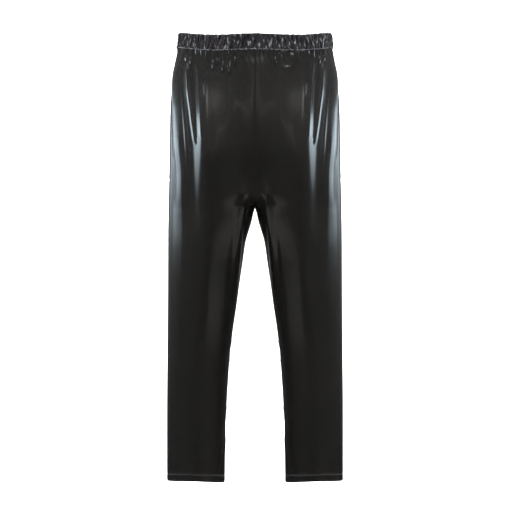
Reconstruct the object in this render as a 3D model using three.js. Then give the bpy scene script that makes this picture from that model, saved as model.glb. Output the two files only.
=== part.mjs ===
// Black leather trousers with a gathered elastic waist, filled out as they are when worn.
// Millimetres, +Z up. The front faces -Y and the wearer's left leg is on +X.
// The origin is the centre of the waist, halfway up the waistband.
// Each leg is two panels, a front and a back, that meet at the side seam and the inside leg
// seam. Above the fork the left and right panels meet at the centre seam.
import * as THREE from "three";

// Driving dimensions
const WALL = 1.6; // leather with its knitted backing
const SEAM_GAP = 0.3; // between the pieces that are sewn together
const BAND_HEIGHT = 37; // waistband, folded over its elastic
const BAND_THICKNESS = 4.2; // two layers of leather round the elastic
const BAND_RAISE = 1.1; // how far the band stands out from the panels
const WAIST_DIP_FRONT = 14; // the waist sits lower at the front than at the sides
const BAND_CENTRE_AT_SIDES = -4.5; // drop of the middle of the band at the side seams
const CROTCH_DROP = 369;
const FORK_HEIGHT = { front: 32, back: 160 }; // the centre seam curves in over this height
const THIGH_HEIGHT = { front: 309, back: 300 }; // each thigh becomes round over this height
const HOLLOW_ABOVE_FORK = 0.3; // how far the centre sinks above the fork, as a share of a leg's
const LEAST_ROUNDING = 1e-6; // keeps the section's formula from dividing by zero at the waist
const QUARTER = Math.PI / 2;
const HEM_DROP_OUTSIDE = 975;
const HEM_DROP_INSIDE = 979;
const HEM_RISE_FRONT = 6; // the hem is cut higher over the foot
const HEM_TURN_UP = 16; // turned inside and stitched, so the wall is double there
const DIP_FADES_BY = 210; // drop at which the rows have become level

// Sections, from the waist down. drop is the distance below the origin, outer is the side seam
// from the centre plane, front and back are the depths before and behind the side seams.
const SECTIONS = [
  { drop: -24, outer: 167.5, front: 110, back: 116 },
  { drop: 14, outer: 172.5, front: 111, back: 119 },
  { drop: 45, outer: 178.5, front: 113, back: 124 },
  { drop: 80, outer: 183.5, front: 115, back: 131 },
  { drop: 152, outer: 189, front: 116, back: 143 },
  { drop: 230, outer: 190.5, front: 114, back: 148 },
  { drop: 300, outer: 191.5, front: 108, back: 140 },
  { drop: 369, outer: 193, front: 101, back: 122 },
  { drop: 430, outer: 194, front: 97, back: 111 },
  { drop: 560, outer: 194.5, front: 88, back: 97 },
  { drop: 690, outer: 195.5, front: 78, back: 86 },
  { drop: 830, outer: 196.5, front: 70, back: 80 },
  { drop: 985, outer: 196.5, front: 64, back: 71 },
];

// Inside leg seam below the fork: inner is its distance from the centre plane.
const INSIDE_LEG = [
  { drop: 369, inner: 0 },
  { drop: 380, inner: 3.2 },
  { drop: 395, inner: 6.4 },
  { drop: 415, inner: 12.5 },
  { drop: 435, inner: 19.2 },
  { drop: 450, inner: 22.8 },
  { drop: 473, inner: 26.2 },
  { drop: 593, inner: 43.5 },
  { drop: 727, inner: 58 },
  { drop: 887, inner: 66 },
  { drop: 985, inner: 67 },
];

// The long fold on each front hip: two ridges run down from the waistband, the hollow between
// them closes at a drop of about 220, and one soft crest runs on down the thigh.
// ridgeOut, hollow and ridgeIn are distances from the centre plane, and sink is the depth of
// the hollow, so it is negative where the crest stands out.
const HIP_FOLD = [
  { drop: 20, ridgeOut: 148, hollow: 137, ridgeIn: 127, sink: 1.4 },
  { drop: 60, ridgeOut: 148, hollow: 137, ridgeIn: 127, sink: 3.0 },
  { drop: 107, ridgeOut: 147, hollow: 137, ridgeIn: 127, sink: 5.0 },
  { drop: 174, ridgeOut: 142, hollow: 133, ridgeIn: 124, sink: 3.2 },
  { drop: 218, ridgeOut: 137, hollow: 129, ridgeIn: 121, sink: 0.2 },
  { drop: 308, ridgeOut: 134, hollow: 126, ridgeIn: 117, sink: -1.6 },
  { drop: 441, ridgeOut: 132, hollow: 124, ridgeIn: 115, sink: -1.6 },
  { drop: 600, ridgeOut: 129, hollow: 121, ridgeIn: 112, sink: -0.6 },
  { drop: 720, ridgeOut: 126, hollow: 118, ridgeIn: 109, sink: 0 },
];
const HIP_RIDGE = { height: 1.5, halfWidth: 7, endsAt: 218, fadesOver: 70 };

// Straight folds of the front, from the first drop and distance to the second. rise is the
// height of the ridge, and is negative for a groove.
const FRONT_FOLDS = [
  { name: "pocket edge", drop0: 72, x0: 172.5, drop1: 303, x1: 161, halfWidth: 6, rise: -1.9 },
  { name: "fine hip ridge", drop0: 100, x0: 162, drop1: 285, x1: 148, halfWidth: 5, rise: 1.3 },
  { name: "hip crest", drop0: 130, x0: 113, drop1: 620, x1: 107, halfWidth: 26, rise: 6 },
  { name: "inner hip fold", drop0: 30, x0: 108, drop1: 205, x1: 99, halfWidth: 8, rise: 2.0 },
  { name: "belly fold", drop0: 40, x0: 63, drop1: 190, x1: 61, halfWidth: 11, rise: 1.2 },
  { name: "centre front", drop0: 36, x0: 0, drop1: 300, x1: 0, halfWidth: 14, rise: 1.3 },
];

// Folds of the back, in the same columns.
const BACK_FOLDS = [
  { name: "side fold", drop0: 22, x0: 152, drop1: 215, x1: 140, halfWidth: 10, rise: -3.2 },
  { name: "outer seat fold", drop0: 22, x0: 118, drop1: 175, x1: 112, halfWidth: 9, rise: 2.4 },
  { name: "inner seat fold", drop0: 22, x0: 74, drop1: 150, x1: 66, halfWidth: 12, rise: -2.4 },
  { name: "under seat fold", drop0: 300, x0: 60, drop1: 430, x1: 128, halfWidth: 13, rise: -3.4 },
  { name: "thigh fold", drop0: 380, x0: 126, drop1: 700, x1: 118, halfWidth: 16, rise: 1.8 },
];

// The crease across the side where the pocket inside ends.
const POCKET_END = { drop: 305, halfHeight: 6, front: 158, back: 180, sink: 2.4 };

// Gathers: the band has many small ones, and the panels under it have fewer and larger ones.
const BAND_GATHERS = 80;
const BAND_GATHER_HEIGHT = 1.7;
const PANEL_GATHERS = 10; // on each panel
const PANEL_GATHER = { height: 1.5, heightSpread: 1.5, reach: 13, reachSpread: 34 };

// Mesh rows: the gathered top is measured down from the waist seam, the rest from the origin.
const TOP_ROWS = [0, 9, 22, 42];
const HIP_ROWS = [80, 120, 165, 200, 235, 270, 298, 305, 312, 332];
const FORK_STEPS = [0.3, 0.6, 0.85, 0.94, 0.985]; // shares of the fork's height, down to the crotch
const THIGH_ROWS = [380, 395, 410, 424, 440, 475, 520];
const LEG_ROWS = [580, 650, 730, 820, 900];
const TOP_COLUMNS = PANEL_GATHERS * 4;
const HIP_COLUMNS = 17;
const LEG_COLUMNS = 12;

const clamp01 = (v) => Math.min(1, Math.max(0, v));
const mix = (a, b, share) => a + (b - a) * share;

/** 0 to 1 with a level start and end. */
function ease(v) {
  const c = clamp01(v);
  return c * c * (3 - 2 * c);
}

/** A round-topped hump that is 1 at 0 and has faded out at -1 and 1. */
function hump(v) {
  const c = clamp01(1 - Math.abs(v));
  return c * c * (3 - 2 * c);
}

/** Repeatable uneven value from 0 to 1 for a counted item. */
function uneven(count) {
  const wave = Math.sin(count * 12.9898 + 4.1414) * 43758.5453;
  return wave - Math.floor(wave);
}

/** Value of a table's column at a drop, on a smooth curve through its rows. */
function smooth(table, column, drop) {
  const last = table.length - 1;
  if (drop <= table[0].drop) return table[0][column];
  if (drop >= table[last].drop) return table[last][column];
  let i = 0;
  while (table[i + 1].drop < drop) i += 1;
  const secant = (k) => {
    const a = table[clampRow(k, last)];
    const b = table[clampRow(k, last) + 1];
    return (b[column] - a[column]) / (b.drop - a.drop);
  };
  const slope = (k) => {
    const before = secant(k - 1);
    const after = secant(k);
    return before * after <= 0 ? 0 : (2 * before * after) / (before + after);
  };
  const span = table[i + 1].drop - table[i].drop;
  const t = (drop - table[i].drop) / span;
  const start = table[i][column];
  const end = table[i + 1][column];
  return (
    (2 * t ** 3 - 3 * t ** 2 + 1) * start +
    (t ** 3 - 2 * t ** 2 + t) * span * slope(i) +
    (-2 * t ** 3 + 3 * t ** 2) * end +
    (t ** 3 - t ** 2) * span * slope(i + 1)
  );
}

/** Row number held between the first row and the last but one. */
function clampRow(k, last) {
  return Math.min(last - 1, Math.max(0, k));
}

/**
 * Section of one panel at a drop. A quarter of an ellipse runs from the side seam to the foremost
 * point at centre, and a wider one, innerHalf, runs on from there to the panel's other edge.
 */
function section(drop, face) {
  const outer = smooth(SECTIONS, "outer", drop);
  const depth = smooth(SECTIONS, face, drop);
  if (drop >= CROTCH_DROP) {
    const inner = smooth(INSIDE_LEG, "inner", drop);
    const half = (outer - inner) / 2;
    const centre = outer - half;
    return { centre, half, innerHalf: half, innerRate: 1, depth, endAngle: Math.PI };
  }
  const above = CROTCH_DROP - drop;
  const rounded = Math.max(LEAST_ROUNDING, ease(1 - above / THIGH_HEIGHT[face]));
  const hollow = mix(HOLLOW_ABOVE_FORK, 1, ease(1 - above / FORK_HEIGHT[face]));
  const half = outer / (1 + rounded);
  const innerRate = Math.asin(hollow * rounded) / (QUARTER * rounded);
  const endAngle = QUARTER * (1 + rounded);
  return { centre: outer - half, half, innerHalf: half / hollow, innerRate, depth, endAngle };
}

/** Plain point of a panel, before its folds: x is measured outwards from the centre plane. */
function plainPoint(drop, angle, face) {
  const s = section(drop, face);
  const past = Math.max(0, angle - QUARTER) * s.innerRate;
  const away = face === "front" ? -1 : 1;
  const x = s.half * Math.cos(Math.min(angle, QUARTER)) - s.innerHalf * Math.sin(past);
  const y = s.depth * Math.sin(Math.min(angle, QUARTER)) * Math.cos(past);
  return new THREE.Vector3(s.centre + x, away * y, -drop);
}

/** Outward normal of the plain surface. */
function plainNormal(drop, angle, face) {
  const step = 0.5;
  const above = drop > CROTCH_DROP && drop - step < CROTCH_DROP ? drop : drop - step;
  const below = drop <= CROTCH_DROP && drop + step > CROTCH_DROP ? drop : drop + step;
  const down = plainPoint(below, angle, face).sub(plainPoint(above, angle, face));
  const round = plainPoint(drop, angle + 0.002, face).sub(plainPoint(drop, angle - 0.002, face));
  const normal = new THREE.Vector3().crossVectors(round, down).normalize();
  return face === "front" ? normal : normal.negate();
}

/** How far the waist hangs below its height at the sides, at a distance from the centre plane. */
function waistDip(x, face) {
  if (face === "back") return 0;
  const across = clamp01(x / SECTIONS[1].outer);
  return WAIST_DIP_FRONT * (1 - across ** 4) + 1.8 * hump((across - 0.5) / 0.5);
}

/** Height of one straight fold at a point. */
function straightFold(fold, drop, x) {
  const length = fold.drop1 - fold.drop0;
  const along = (drop - fold.drop0) / length;
  const ends = ease(along * 6) * ease((1 - along) * 2.2);
  const line = mix(fold.x0, fold.x1, clamp01(along));
  return fold.rise * ends * hump((x - line) / (fold.halfWidth * 1.4));
}

/** Relief of the long hip fold. */
function hipFold(drop, x) {
  const out = smooth(HIP_FOLD, "ridgeOut", drop);
  const hollow = smooth(HIP_FOLD, "hollow", drop);
  const inward = smooth(HIP_FOLD, "ridgeIn", drop);
  const reach = x > hollow ? out - hollow : hollow - inward;
  const sink = -smooth(HIP_FOLD, "sink", drop) * hump((x - hollow) / (reach * 1.25));
  const stands = HIP_RIDGE.height * ease((HIP_RIDGE.endsAt - drop) / HIP_RIDGE.fadesOver);
  const onRidge =
    hump((x - out) / HIP_RIDGE.halfWidth) + hump((x - inward) / HIP_RIDGE.halfWidth);
  return sink + stands * onRidge;
}

/** Relief of the gathers under the waistband, fading down the panel. */
function gathers(belowSeam, angleShare, face) {
  const count = angleShare * PANEL_GATHERS;
  const index = Math.min(PANEL_GATHERS - 1, Math.floor(count));
  const seed = index + (face === "front" ? 0 : 40);
  const height = PANEL_GATHER.height + PANEL_GATHER.heightSpread * uneven(seed);
  const reach = PANEL_GATHER.reach + PANEL_GATHER.reachSpread * uneven(seed + 17) ** 2;
  const across = 0.5 - 0.5 * Math.cos((count - index) * 2 * Math.PI);
  return height * (across - 0.5) * Math.exp(-belowSeam / reach);
}

/** Relief of a panel at a point, along its outward normal. */
function relief(drop, angle, face) {
  const s = section(drop, face);
  const x = plainPoint(drop, angle, face).x;
  const seamDrop = BAND_CENTRE_AT_SIDES + BAND_HEIGHT / 2 + SEAM_GAP;
  const folds = face === "front" ? FRONT_FOLDS : BACK_FOLDS;
  let height = gathers(Math.max(0, drop - seamDrop), angle / s.endAngle, face);
  for (const fold of folds) height += straightFold(fold, drop, x);
  if (face === "front") height += hipFold(drop, x);
  const acrossSide = ease((x - POCKET_END[face]) / 12);
  height -= POCKET_END.sink * acrossSide * hump((drop - POCKET_END.drop) / POCKET_END.halfHeight);
  const fromSide = Math.abs(angle) * s.depth;
  const isCrease = Math.abs(drop - POCKET_END.drop) < POCKET_END.halfHeight;
  return isCrease ? height : height * ease(fromSide / 9);
}

/** Drop of the hem at an angle round the leg. */
function hemDrop(angle, face) {
  const level = mix(HEM_DROP_OUTSIDE, HEM_DROP_INSIDE, (1 - Math.cos(angle)) / 2);
  return face === "front" ? level - HEM_RISE_FRONT * Math.sin(angle) ** 2 : level;
}

/** Rows of a panel, each with its drop, its inner thickness and the angles of its columns. */
function panelRows(face) {
  const seamDrop = BAND_CENTRE_AT_SIDES + BAND_HEIGHT / 2 + SEAM_GAP;
  const forkTop = HIP_ROWS[HIP_ROWS.length - 1];
  const forkRows = FORK_STEPS.map((share) => CROTCH_DROP - FORK_HEIGHT[face] * (1 - share));
  const level = [
    ...HIP_ROWS,
    ...forkRows.filter((drop) => drop > forkTop + 3),
    CROTCH_DROP,
    ...THIGH_ROWS,
  ];
  const even = (count) => Array.from({ length: count + 1 }, (_, i) => i / count);
  const rows = TOP_ROWS.map((below) => ({ drop: seamDrop + below, shares: even(TOP_COLUMNS) }));
  for (const drop of level) {
    rows.push({ drop, shares: face === "front" ? foldShares(drop) : even(HIP_COLUMNS) });
  }
  for (const drop of LEG_ROWS) rows.push({ drop, shares: even(LEG_COLUMNS) });
  const hem = [HEM_TURN_UP + 1.5, HEM_TURN_UP, 0];
  hem.forEach((up, i) =>
    rows.push({ aboveHem: up, shares: even(LEG_COLUMNS), wall: i ? 2 * WALL : WALL }),
  );
  return rows;
}

/** Column shares of a front row, which follow the lines of its long folds. */
function foldShares(drop) {
  const s = section(drop, "front");
  const share = (x) => Math.acos(Math.min(1, Math.max(-1, (x - s.centre) / s.half))) / s.endAngle;
  const onLine = (fold) => {
    const along = clamp01((drop - fold.drop0) / (fold.drop1 - fold.drop0));
    return share(mix(fold.x0, fold.x1, along));
  };
  const stops = [
    { at: 0, parts: 1 },
    { at: onLine(FRONT_FOLDS[0]), parts: 2 },
    { at: share(smooth(HIP_FOLD, "ridgeOut", drop)), parts: 1 },
    { at: share(smooth(HIP_FOLD, "hollow", drop)), parts: 1 },
    { at: share(smooth(HIP_FOLD, "ridgeIn", drop)), parts: 2 },
    { at: onLine(FRONT_FOLDS[2]), parts: HIP_COLUMNS - 7 },
  ];
  const shares = [0];
  stops.forEach((stop, i) => {
    const end = i + 1 < stops.length ? stops[i + 1].at : 1;
    for (let k = 1; k <= stop.parts; k += 1) shares.push(mix(stop.at, end, k / stop.parts));
  });
  return shares;
}

/** Keeps a point on its own side of the seams, half the gap away from them. */
function keepToQuarter(point, face) {
  const half = SEAM_GAP / 2;
  const y = face === "front" ? Math.min(point.y, -half) : Math.max(point.y, half);
  return new THREE.Vector3(Math.max(point.x, half), y, point.z);
}

/** Outer and inner points of one row of a panel. */
function panelRow(row, face) {
  const outer = [];
  const inner = [];
  for (const share of row.shares) {
    const rough = row.drop ?? HEM_DROP_OUTSIDE - row.aboveHem;
    const angle = share * section(rough, face).endAngle;
    const drop = row.drop ?? hemDrop(angle, face) - row.aboveHem;
    const normal = plainNormal(drop, angle, face);
    const point = plainPoint(drop, angle, face);
    const dip = waistDip(point.x, face) * ease(1 - (drop - 14) / DIP_FADES_BY);
    point.addScaledVector(normal, relief(drop, angle, face));
    point.z -= dip;
    const inside = point.clone().addScaledVector(normal, -(row.wall ?? WALL));
    if (row.aboveHem === 0) inside.z = point.z;
    outer.push(keepToQuarter(point, face));
    inner.push(keepToQuarter(inside, face));
  }
  return { outer, inner, shares: row.shares };
}

/** Collects points and triangles, and turns them into one closed geometry. */
class Skin {
  constructor() {
    this.points = [];
    this.triangles = [];
  }

  /** Adds a row of points and returns their numbers. */
  addRow(points) {
    const first = this.points.length;
    this.points.push(...points);
    return points.map((_, i) => first + i);
  }

  /** Fills the strip between two rows, which may have different numbers of points. */
  strip(rowA, sharesA, rowB, sharesB) {
    let a = 0;
    let b = 0;
    while (a + 1 < rowA.length || b + 1 < rowB.length) {
      const nextA = a + 1 < rowA.length ? sharesA[a + 1] : Infinity;
      const nextB = b + 1 < rowB.length ? sharesB[b + 1] : Infinity;
      if (nextA <= nextB) {
        this.triangles.push([rowA[a], rowA[a + 1], rowB[b]]);
        a += 1;
      } else {
        this.triangles.push([rowA[a], rowB[b + 1], rowB[b]]);
        b += 1;
      }
    }
  }

  /** One closed geometry, with its faces turned round if it would be inside out. */
  geometry(turned) {
    const index = this.triangles
      .filter(([a, b, c]) => a !== b && b !== c && a !== c)
      .flatMap(([a, b, c]) => (turned ? [a, c, b] : [a, b, c]));
    const made = new THREE.BufferGeometry();
    made.setFromPoints(this.points);
    made.setIndex(index);
    made.computeVertexNormals();
    return made;
  }
}

/** Closed wall of a panel on one side of the body: side is 1 for the left leg and -1 for the right. */
function panelGeometry(face, side) {
  const skin = new Skin();
  const mirrored = (p) => new THREE.Vector3(p.x * side, p.y, p.z);
  const rows = panelRows(face).map((row) => {
    const made = panelRow(row, face);
    return {
      outer: skin.addRow(made.outer.map(mirrored)),
      inner: skin.addRow(made.inner.map(mirrored)),
      shares: made.shares,
    };
  });
  for (let i = 0; i + 1 < rows.length; i += 1) {
    const [a, b] = [rows[i], rows[i + 1]];
    skin.strip(a.outer, a.shares, b.outer, b.shares);
    skin.strip(b.inner, b.shares, a.inner, a.shares);
  }
  const [top, hem] = [rows[0], rows[rows.length - 1]];
  skin.strip(top.inner, top.shares, top.outer, top.shares);
  skin.strip(hem.outer, hem.shares, hem.inner, hem.shares);
  const down = rows.map((_, i) => i);
  const edge = (surface, end) => rows.map((row) => row[surface].at(end));
  skin.strip(edge("outer", 0), down, edge("inner", 0), down);
  skin.strip(edge("inner", -1), down, edge("outer", -1), down);
  return skin.geometry((face === "front") !== (side === 1));
}

/** Point of the waistband: turn goes once round from the left side seam by the front. */
function bandPoint(turn, up, outward) {
  const angle = turn * 2 * Math.PI;
  const face = Math.sin(angle) >= 0 ? "front" : "back";
  const across = Math.acos(Math.abs(Math.cos(angle)));
  const drop = BAND_CENTRE_AT_SIDES - up;
  const normal = plainNormal(drop, across, face);
  const point = plainPoint(drop, across, face).addScaledVector(normal.setZ(0).normalize(), outward);
  const side = Math.cos(angle) >= 0 ? 1 : -1;
  point.z = -drop - waistDip(plainPoint(drop, across, face).x, face);
  return new THREE.Vector3(side * point.x, point.y, point.z);
}

/** Height of the small gathers of the band, from 0 in a hollow to 1 on a crest. */
function bandWave(turn) {
  const count = turn * BAND_GATHERS;
  const index = Math.floor(count + 1e-6) % BAND_GATHERS;
  const size = 0.55 + 0.45 * uneven(index);
  return size * (0.5 - 0.5 * Math.cos((count - Math.floor(count + 1e-6)) * 2 * Math.PI));
}

/** The band: gathered outside, plain inside, closed all round. */
function bandGeometry() {
  const skin = new Skin();
  const half = BAND_HEIGHT / 2;
  const outerRows = [
    { up: half, bulge: -0.8, wave: 0.6 },
    { up: 0, bulge: 0.4, wave: 1 },
    { up: -half, bulge: -0.8, wave: 0.6 },
  ];
  const ring = (count, place) => {
    const shares = Array.from({ length: count + 1 }, (_, i) => i / count);
    const numbers = skin.addRow(shares.slice(0, count).map(place));
    return { numbers: [...numbers, numbers[0]], shares };
  };
  const outer = outerRows.map((row) =>
    ring(BAND_GATHERS * 4, (turn) =>
      bandPoint(turn, row.up, BAND_RAISE + row.bulge + BAND_GATHER_HEIGHT * row.wave * bandWave(turn)),
    ),
  );
  const inner = [half, -half].map((up) =>
    ring(BAND_GATHERS, (turn) => bandPoint(turn, up, BAND_RAISE - BAND_THICKNESS)),
  );
  const loop = [...outer, inner[1], inner[0]];
  loop.forEach((row, i) => {
    const next = loop[(i + 1) % loop.length];
    skin.strip(row.numbers, row.shares, next.numbers, next.shares);
  });
  return skin.geometry(false);
}

/** One named mesh of the trousers in black leather. */
function leatherPiece(name, geometry, roughness) {
  const material = new THREE.MeshStandardMaterial({ color: 0x1b1b1c, roughness, metalness: 0 });
  const mesh = new THREE.Mesh(geometry, material);
  mesh.name = name;
  return mesh;
}

const trousers = new THREE.Group();
trousers.add(leatherPiece("waistband", bandGeometry(), 0.4));
for (const face of ["front", "back"]) {
  for (const [leg, side] of [["left", 1], ["right", -1]]) {
    trousers.add(leatherPiece(`${face}_${leg}`, panelGeometry(face, side), 0.28));
  }
}

export default trousers;
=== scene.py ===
"""Glossy black leather trousers with a gathered elastic waist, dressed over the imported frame.

Sizes in the tables are millimetres in the frame's axes: the front faces -Y, the wearer's left
leg is on +X, and drop is the distance below the origin, which is the middle of the waist.
"""

import logging
import math
from dataclasses import dataclass, field
from enum import Enum

import bmesh
import bpy
import numpy as np
from mathutils import Matrix, Vector


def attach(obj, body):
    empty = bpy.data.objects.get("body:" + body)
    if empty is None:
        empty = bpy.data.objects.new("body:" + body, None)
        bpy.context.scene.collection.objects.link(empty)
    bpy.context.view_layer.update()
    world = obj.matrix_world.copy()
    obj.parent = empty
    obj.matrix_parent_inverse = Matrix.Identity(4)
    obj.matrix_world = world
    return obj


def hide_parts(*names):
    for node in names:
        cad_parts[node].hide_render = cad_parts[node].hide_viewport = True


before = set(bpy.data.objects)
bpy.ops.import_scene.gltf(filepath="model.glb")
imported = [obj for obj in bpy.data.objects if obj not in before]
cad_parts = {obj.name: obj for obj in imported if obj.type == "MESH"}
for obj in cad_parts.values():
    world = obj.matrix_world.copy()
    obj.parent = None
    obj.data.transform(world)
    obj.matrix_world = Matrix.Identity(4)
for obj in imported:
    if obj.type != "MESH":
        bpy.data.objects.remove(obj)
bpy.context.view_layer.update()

log = logging.getLogger("trousers")

MM = 0.001
TURN = 2.0 * math.pi
QUARTER = 0.5 * math.pi
PANEL_ROUND = 240.0  # every panel's width, as places round it are read, from the side seam
FINE = 1e-5


class Face(Enum):
    """Which half of the body a panel covers."""

    FRONT = "front"
    BACK = "back"

    @property
    def away(self) -> float:
        """Sign of Y on this face."""
        return -1.0 if self is Face.FRONT else 1.0


class Leg(Enum):
    """Which of the wearer's legs a panel is on, and the sign of X there."""

    LEFT = 1.0
    RIGHT = -1.0

    @property
    def label(self) -> str:
        """Name of the leg in lower case."""
        return self.name.lower()


def ease(value: np.ndarray) -> np.ndarray:
    """0 to 1 with a level start and end."""
    held = np.clip(value, 0.0, 1.0)
    return held * held * (3.0 - 2.0 * held)


def hump(value: np.ndarray) -> np.ndarray:
    """A round-topped hump that is 1 at 0 and has faded out at -1 and 1."""
    return ease(1.0 - np.abs(value))


def mix(low: float, high: float, share: np.ndarray) -> np.ndarray:
    """Value at a share of the way from low to high."""
    return low + (high - low) * share


def read_table(drops: np.ndarray, rows: tuple[tuple[float, float], ...]) -> np.ndarray:
    """Reads a table on a smooth curve that doesn't overshoot its rows.

    Args:
        drops: where to read it.
        rows: each row's drop, rising, and its value.

    Returns:
        The value at each drop, held level beyond the table's ends.
    """
    x, y = np.array(rows, dtype=float).T
    secant = np.diff(y) / np.diff(x)
    before = np.concatenate(([secant[0]], secant))
    after = np.concatenate((secant, [secant[-1]]))
    total = before + after
    same_way = before * after > 0.0
    slope = np.where(same_way, 2.0 * before * after / np.where(same_way, total, 1.0), 0.0)
    held = np.clip(drops, x[0], x[-1])
    row = np.clip(np.searchsorted(x, held, side="right") - 1, 0, len(x) - 2)
    span = x[row + 1] - x[row]
    t = (held - x[row]) / span
    return (
        (2 * t**3 - 3 * t**2 + 1) * y[row]
        + (t**3 - 2 * t**2 + t) * span * slope[row]
        + (-2 * t**3 + 3 * t**2) * y[row + 1]
        + (t**3 - t**2) * span * slope[row + 1]
    )


@dataclass(frozen=True)
class Section:
    """Half the outline at one height: the side seam's place and the depth before and behind it."""

    drop: float
    outer: float
    front: float
    back: float


@dataclass(frozen=True)
class Crease:
    """A soft ridge, or a trough where rise is negative, along a line on a panel.

    Its start and end are a sideways place and a drop. head and tail are the shares of its length
    over which it rises and fades, and inner_width is its half width towards the middle.
    """

    start: tuple[float, float]
    end: tuple[float, float]
    half_width: float
    rise: float
    bend: float = 0.0
    head: float = 0.25
    tail: float = 0.45
    inner_width: float | None = None

    def height(self, place: np.ndarray, drop: np.ndarray) -> np.ndarray:
        """Works out the crease's height over a panel.

        Args:
            place: each point's sideways place, as the crease's table reads it.
            drop: its distance below the origin.

        Returns:
            The height to move each point outwards.
        """
        run = (self.end[0] - self.start[0], self.end[1] - self.start[1])
        length = math.hypot(*run)
        along_x, along_y = run[0] / length, run[1] / length
        off_x, off_y = place - self.start[0], drop - self.start[1]
        share = np.clip((off_x * along_x + off_y * along_y) / length, 0.0, 1.0)
        beside = off_x * along_y - off_y * along_x + self.bend * 4.0 * share * (1.0 - share)
        ends = ease(share / self.head) * ease((1.0 - share) / self.tail)
        inner = self.half_width if self.inner_width is None else self.inner_width
        width = np.where(beside > 0.0, self.half_width, inner)
        return self.rise * ends * hump(beside / width)


@dataclass
class Figure:
    """The filled-out form that the cloth lies on, given by sections and the inside leg."""

    crotch: float = 369.0
    fork: dict[Face, float] = field(default_factory=lambda: {Face.FRONT: 32.0, Face.BACK: 160.0})
    thigh: dict[Face, float] = field(default_factory=lambda: {Face.FRONT: 309.0, Face.BACK: 300.0})
    hollow_above_fork: float = 0.3
    least_rounding: float = 1e-6
    dip_front: float = 14.0
    dip_wave: float = 1.8
    dip_whole_to: float = 14.0
    dip_fades_by: float = 210.0
    sections: tuple[Section, ...] = (
        Section(-24, 167.5, 110, 116),
        Section(14, 172.5, 111, 119),
        Section(45, 178.5, 113, 124),
        Section(80, 183.5, 115, 131),
        Section(152, 189, 116, 143),
        Section(230, 190.5, 114, 148),
        Section(300, 191.5, 108, 140),
        Section(369, 193, 101, 122),
        Section(430, 194, 97, 111),
        Section(560, 194.5, 88, 97),
        Section(690, 195.5, 78, 86),
        Section(830, 196.5, 70, 80),
        Section(985, 196.5, 64, 71),
    )
    # Drop, and the inside leg seam's distance from the centre plane
    inside_leg: tuple[tuple[float, float], ...] = (
        (369, 0),
        (380, 3.2),
        (395, 6.4),
        (415, 12.5),
        (435, 19.2),
        (450, 22.8),
        (473, 26.2),
        (593, 43.5),
        (727, 58),
        (887, 66),
        (985, 67),
    )
    # Drop, and how round the front of a thigh is: below 1 the thighs press together squarely
    pressed: tuple[tuple[float, float], ...] = (
        (300, 1.0),
        (338, 0.5),
        (356, 0.34),
        (375, 0.44),
        (410, 0.65),
        (480, 1.0),
    )

    def column(self, name: str, drop: np.ndarray) -> np.ndarray:
        """Reads one column of the sections at each drop."""
        return read_table(drop, tuple((row.drop, getattr(row, name)) for row in self.sections))

    def rounded(self, drop: np.ndarray, face: Face) -> np.ndarray:
        """How far the body has become two round thighs, from 0 to 1 at the crotch."""
        return np.maximum(self.least_rounding, ease(1.0 - (self.crotch - drop) / self.thigh[face]))

    def hollow(self, drop: np.ndarray, face: Face) -> np.ndarray:
        """How far the middle has sunk between the thighs, as a share of a whole leg's turn."""
        fork = ease(1.0 - (self.crotch - drop) / self.fork[face])
        return mix(self.hollow_above_fork, 1.0, fork)

    def end_angle(self, drop: np.ndarray, face: Face) -> np.ndarray:
        """Angle at a panel's inner edge, from 0 at the side seam."""
        return QUARTER * (1.0 + self.rounded(drop, face))

    def place(self, drop: np.ndarray, angle: np.ndarray, face: Face) -> np.ndarray:
        """Places points on the plain form, on the left side of the body.

        Args:
            drop: distance below the origin.
            angle: angle round the ellipse from the side seam.
            face: front or back.

        Returns:
            An array with X, Y and Z in its last axis.
        """
        outer = self.column("outer", drop)
        depth = self.column(face.value, drop)
        inner = read_table(drop, self.inside_leg)
        rounded, hollow = self.rounded(drop, face), self.hollow(drop, face)
        half = (outer - inner) / (1.0 + rounded)
        rate = np.arcsin(np.minimum(1.0, hollow * rounded)) / (QUARTER * rounded)
        level, past = np.minimum(angle, QUARTER), np.maximum(angle - QUARTER, 0.0) * rate
        x = outer - half + half * np.cos(level) - half / hollow * np.sin(past)
        fullness = np.maximum(np.cos(past), 0.0)
        if face is Face.FRONT:
            fullness **= read_table(drop, self.pressed)
        y = face.away * depth * np.sin(level) * fullness
        return np.stack([x, y, -drop], axis=-1)

    def dip(self, x: np.ndarray, face: Face) -> np.ndarray:
        """How far the waist hangs below its height at the sides."""
        if face is Face.BACK:
            return np.zeros_like(x)
        across = np.clip(x / self.sections[1].outer, 0.0, 1.0)
        return self.dip_front * (1.0 - across**4) + self.dip_wave * hump(2.0 * across - 1.0)

    def dip_left(self, drop: np.ndarray) -> np.ndarray:
        """Share of the waist's dip that is left at each drop."""
        return ease(1.0 - (drop - self.dip_whole_to) / self.dip_fades_by)


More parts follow.
